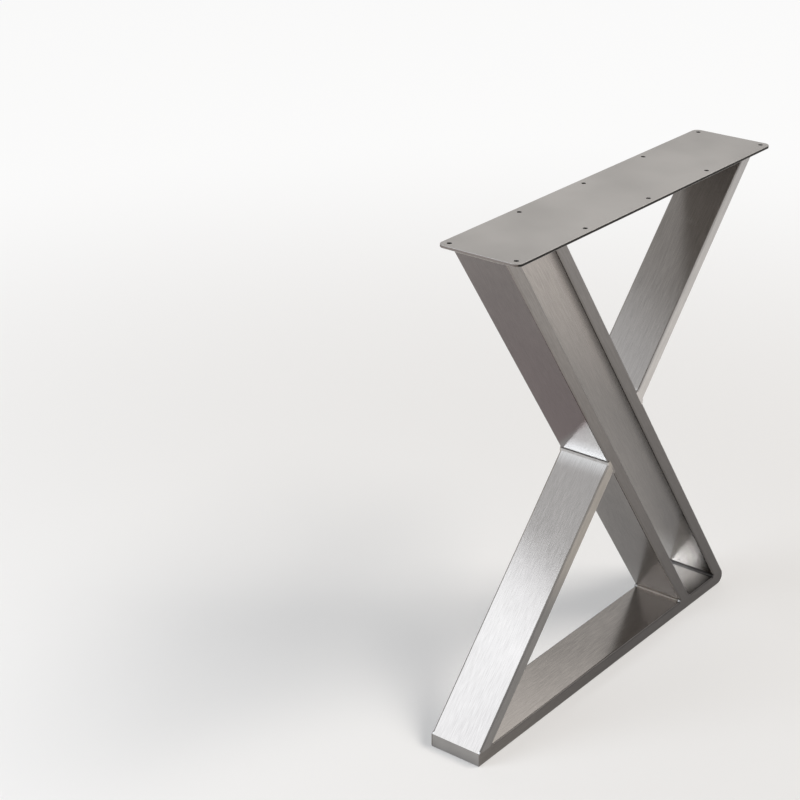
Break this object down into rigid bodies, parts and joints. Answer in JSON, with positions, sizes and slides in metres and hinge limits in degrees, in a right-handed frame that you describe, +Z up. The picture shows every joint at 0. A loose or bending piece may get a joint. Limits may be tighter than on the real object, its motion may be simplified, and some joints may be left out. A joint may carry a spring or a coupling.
{
  "type": "x shaped table leg",
  "caption": "X shaped table leg welded from flat steel tube: parallel long struts crossed by a lower and an upper strut, on a base bar, under a drilled screw plate for the table top.",
  "frame": {"origin": "on the floor, under the middle of the leg's outline", "axes": "+Z up, +X along the leg, from the base bar's reaching end towards the end under the upper strut's side, +Y across the leg"},
  "size_m": [0.642, 0.122, 0.7],
  "materials": {
    "plate_steel": "stainless steel sheet, satin",
    "tube_steel": "stainless steel, brushed along the tubes",
    "weld_steel": "stainless weld metal, dressed and brightened"
  },
  "bodies": {
    "root": {"top_plate": "plate_steel", "left_long_strut": "tube_steel", "right_long_strut": "tube_steel", "lower_strut": "tube_steel", "upper_strut": "tube_steel", "base_bar": "tube_steel", "left_end_cap": "tube_steel", "right_end_cap": "tube_steel", "weld_left_strut_plate": "weld_steel", "weld_right_strut_plate": "weld_steel", "weld_upper_strut_plate": "weld_steel", "weld_left_strut_base": "weld_steel", "weld_right_strut_base": "weld_steel", "weld_lower_strut_base": "weld_steel", "weld_lower_strut_left_strut": "weld_steel", "weld_upper_strut_right_strut": "weld_steel"}
  },
  "joints": []
}
